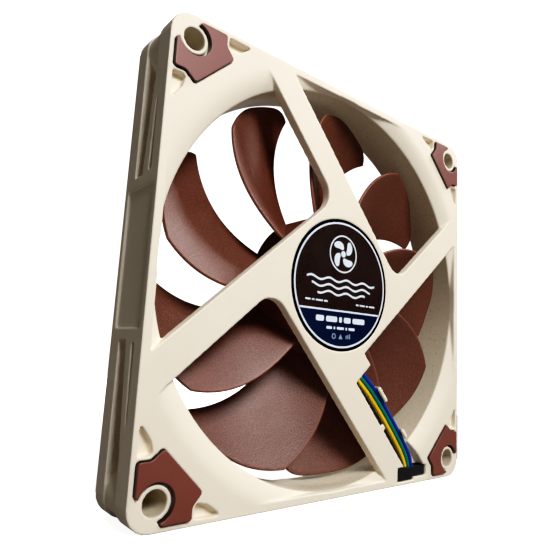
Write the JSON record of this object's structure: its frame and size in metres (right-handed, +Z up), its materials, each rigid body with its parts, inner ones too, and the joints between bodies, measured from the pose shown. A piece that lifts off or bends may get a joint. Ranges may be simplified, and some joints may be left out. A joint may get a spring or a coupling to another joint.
{
  "type": "case fan",
  "caption": "Slim square axial case fan with a swept-blade impeller on a motor hub, four pinwheel struts, soft corner pads and a folded four-wire lead.",
  "frame": {"origin": "on the rotor axis, at the middle of the frame's depth", "axes": "+X to the right seen from the strut side, +Y along the rotor axis towards the intake side, +Z up, with the fan standing on its bottom edge"},
  "size_m": [0.1002, 0.014, 0.092],
  "materials": {
    "frame_plastic": "fine matte beige moulding",
    "pad_rubber": "soft matte brown silicone",
    "rotor_plastic": "satin brown moulding with a fine grain",
    "label_print": "glossy printed label",
    "rotor_label_print": "satin printed label",
    "brass": "turned brass",
    "bronze": "oiled sintered bronze",
    "steel": "ground steel",
    "yoke_steel": "drawn steel cup",
    "magnet": "dark bonded ferrite",
    "lamination": "stamped silicon steel",
    "nylon": "natural nylon",
    "copper": "enamelled copper winding",
    "board": "green solder mask",
    "chip": "moulded epoxy",
    "ceramic": "ceramic with tinned ends",
    "tin": "tinned pin",
    "wire_black": "PVC insulation",
    "wire_yellow": "PVC insulation",
    "wire_green": "PVC insulation",
    "wire_blue": "PVC insulation",
    "black_plastic": "moulded nylon",
    "braid": "braided cable sleeve",
    "contact": "plated contact"
  },
  "bodies": {
    "stator": {"frame": "frame_plastic", "pad_front_top_left": "pad_rubber", "pad_front_top_right": "pad_rubber", "pad_front_bottom_left": "pad_rubber", "pad_front_bottom_right": "pad_rubber", "pad_rear_top_left": "pad_rubber", "pad_rear_top_right": "pad_rubber", "pad_rear_bottom_left": "pad_rubber", "pad_rear_bottom_right": "pad_rubber", "hub_label": "label_print", "bearing_tube": "brass", "sleeve_bearing": "bronze", "bearing_magnet": "magnet", "thrust_plate": "nylon", "oil_seal": "nylon", "stator_core": "lamination", "insulator_front": "nylon", "insulator_rear": "nylon", "coil_1": "copper", "coil_2": "copper", "coil_3": "copper", "coil_4": "copper", "terminal_pins": "tin", "circuit_board": "board", "driver_chip": "chip", "hall_sensor": "chip", "capacitor": "ceramic", "chip_resistors": "chip", "wire_black": "wire_black", "wire_yellow": "wire_yellow", "wire_green": "wire_green", "wire_blue": "wire_blue", "strain_relief": "black_plastic", "cable_sleeve": "braid", "heat_shrink": "black_plastic", "cable_tie": "black_plastic", "connector_housing": "black_plastic", "connector_terminals": "contact"},
    "rotor": {"impeller": "rotor_plastic", "rotor_label": "rotor_label_print", "rotor_yoke": "yoke_steel", "rotor_magnet": "magnet", "shaft": "steel", "shaft_bushing": "brass", "retaining_clip": "nylon"}
  },
  "joints": [
    {"name": "rotor_spin", "type": "hinge", "parent": "stator", "child": "rotor", "pos_m": [0, 0, 0], "axis": [0, 1, 0], "continuous": true}
  ]
}
